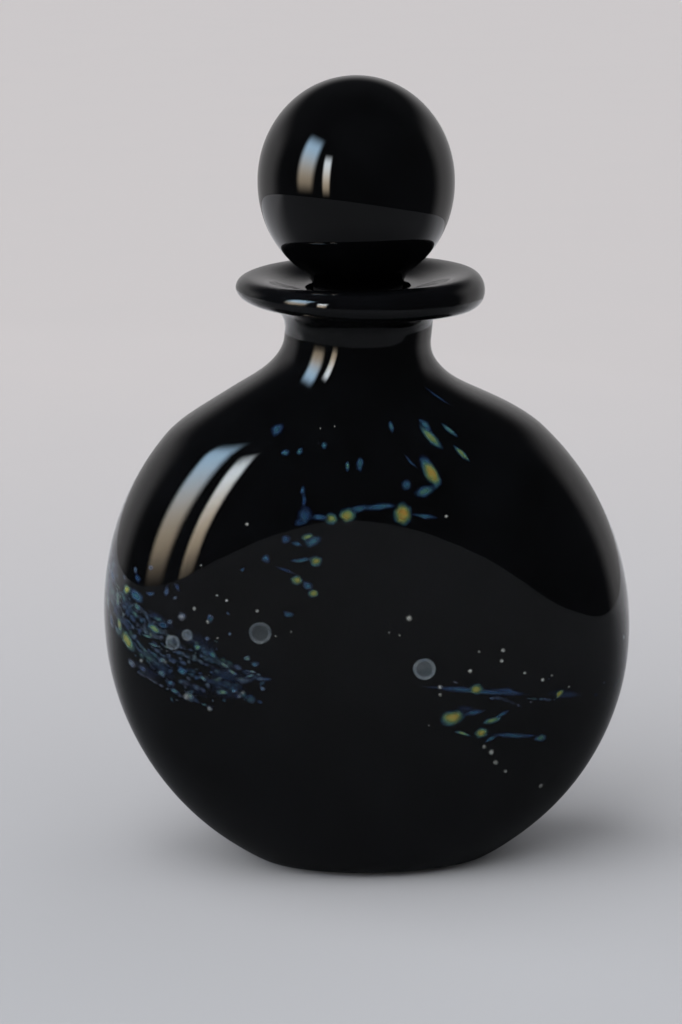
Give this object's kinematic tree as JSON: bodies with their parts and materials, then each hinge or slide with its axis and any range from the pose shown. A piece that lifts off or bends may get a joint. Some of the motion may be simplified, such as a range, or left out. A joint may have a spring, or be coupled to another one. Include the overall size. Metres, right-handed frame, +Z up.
{
  "type": "glass perfume flask",
  "caption": "Round, flattened black glass flask with a narrow neck, a wide disc lip and a solid ball stopper that sits in the bore.",
  "frame": {"origin": "middle of the underside, on the surface that the flask stands on", "axes": "+Z up the neck, -Y out of the front face, +X to the right as seen from the front"},
  "size_m": [0.0742, 0.034, 0.1105],
  "materials": {
    "flask_glass": "glossy black glass cased in clear glass",
    "stopper_glass": "glossy black glass"
  },
  "bodies": {
    "root": {"flask": "flask_glass", "stopper": "stopper_glass"}
  },
  "joints": []
}
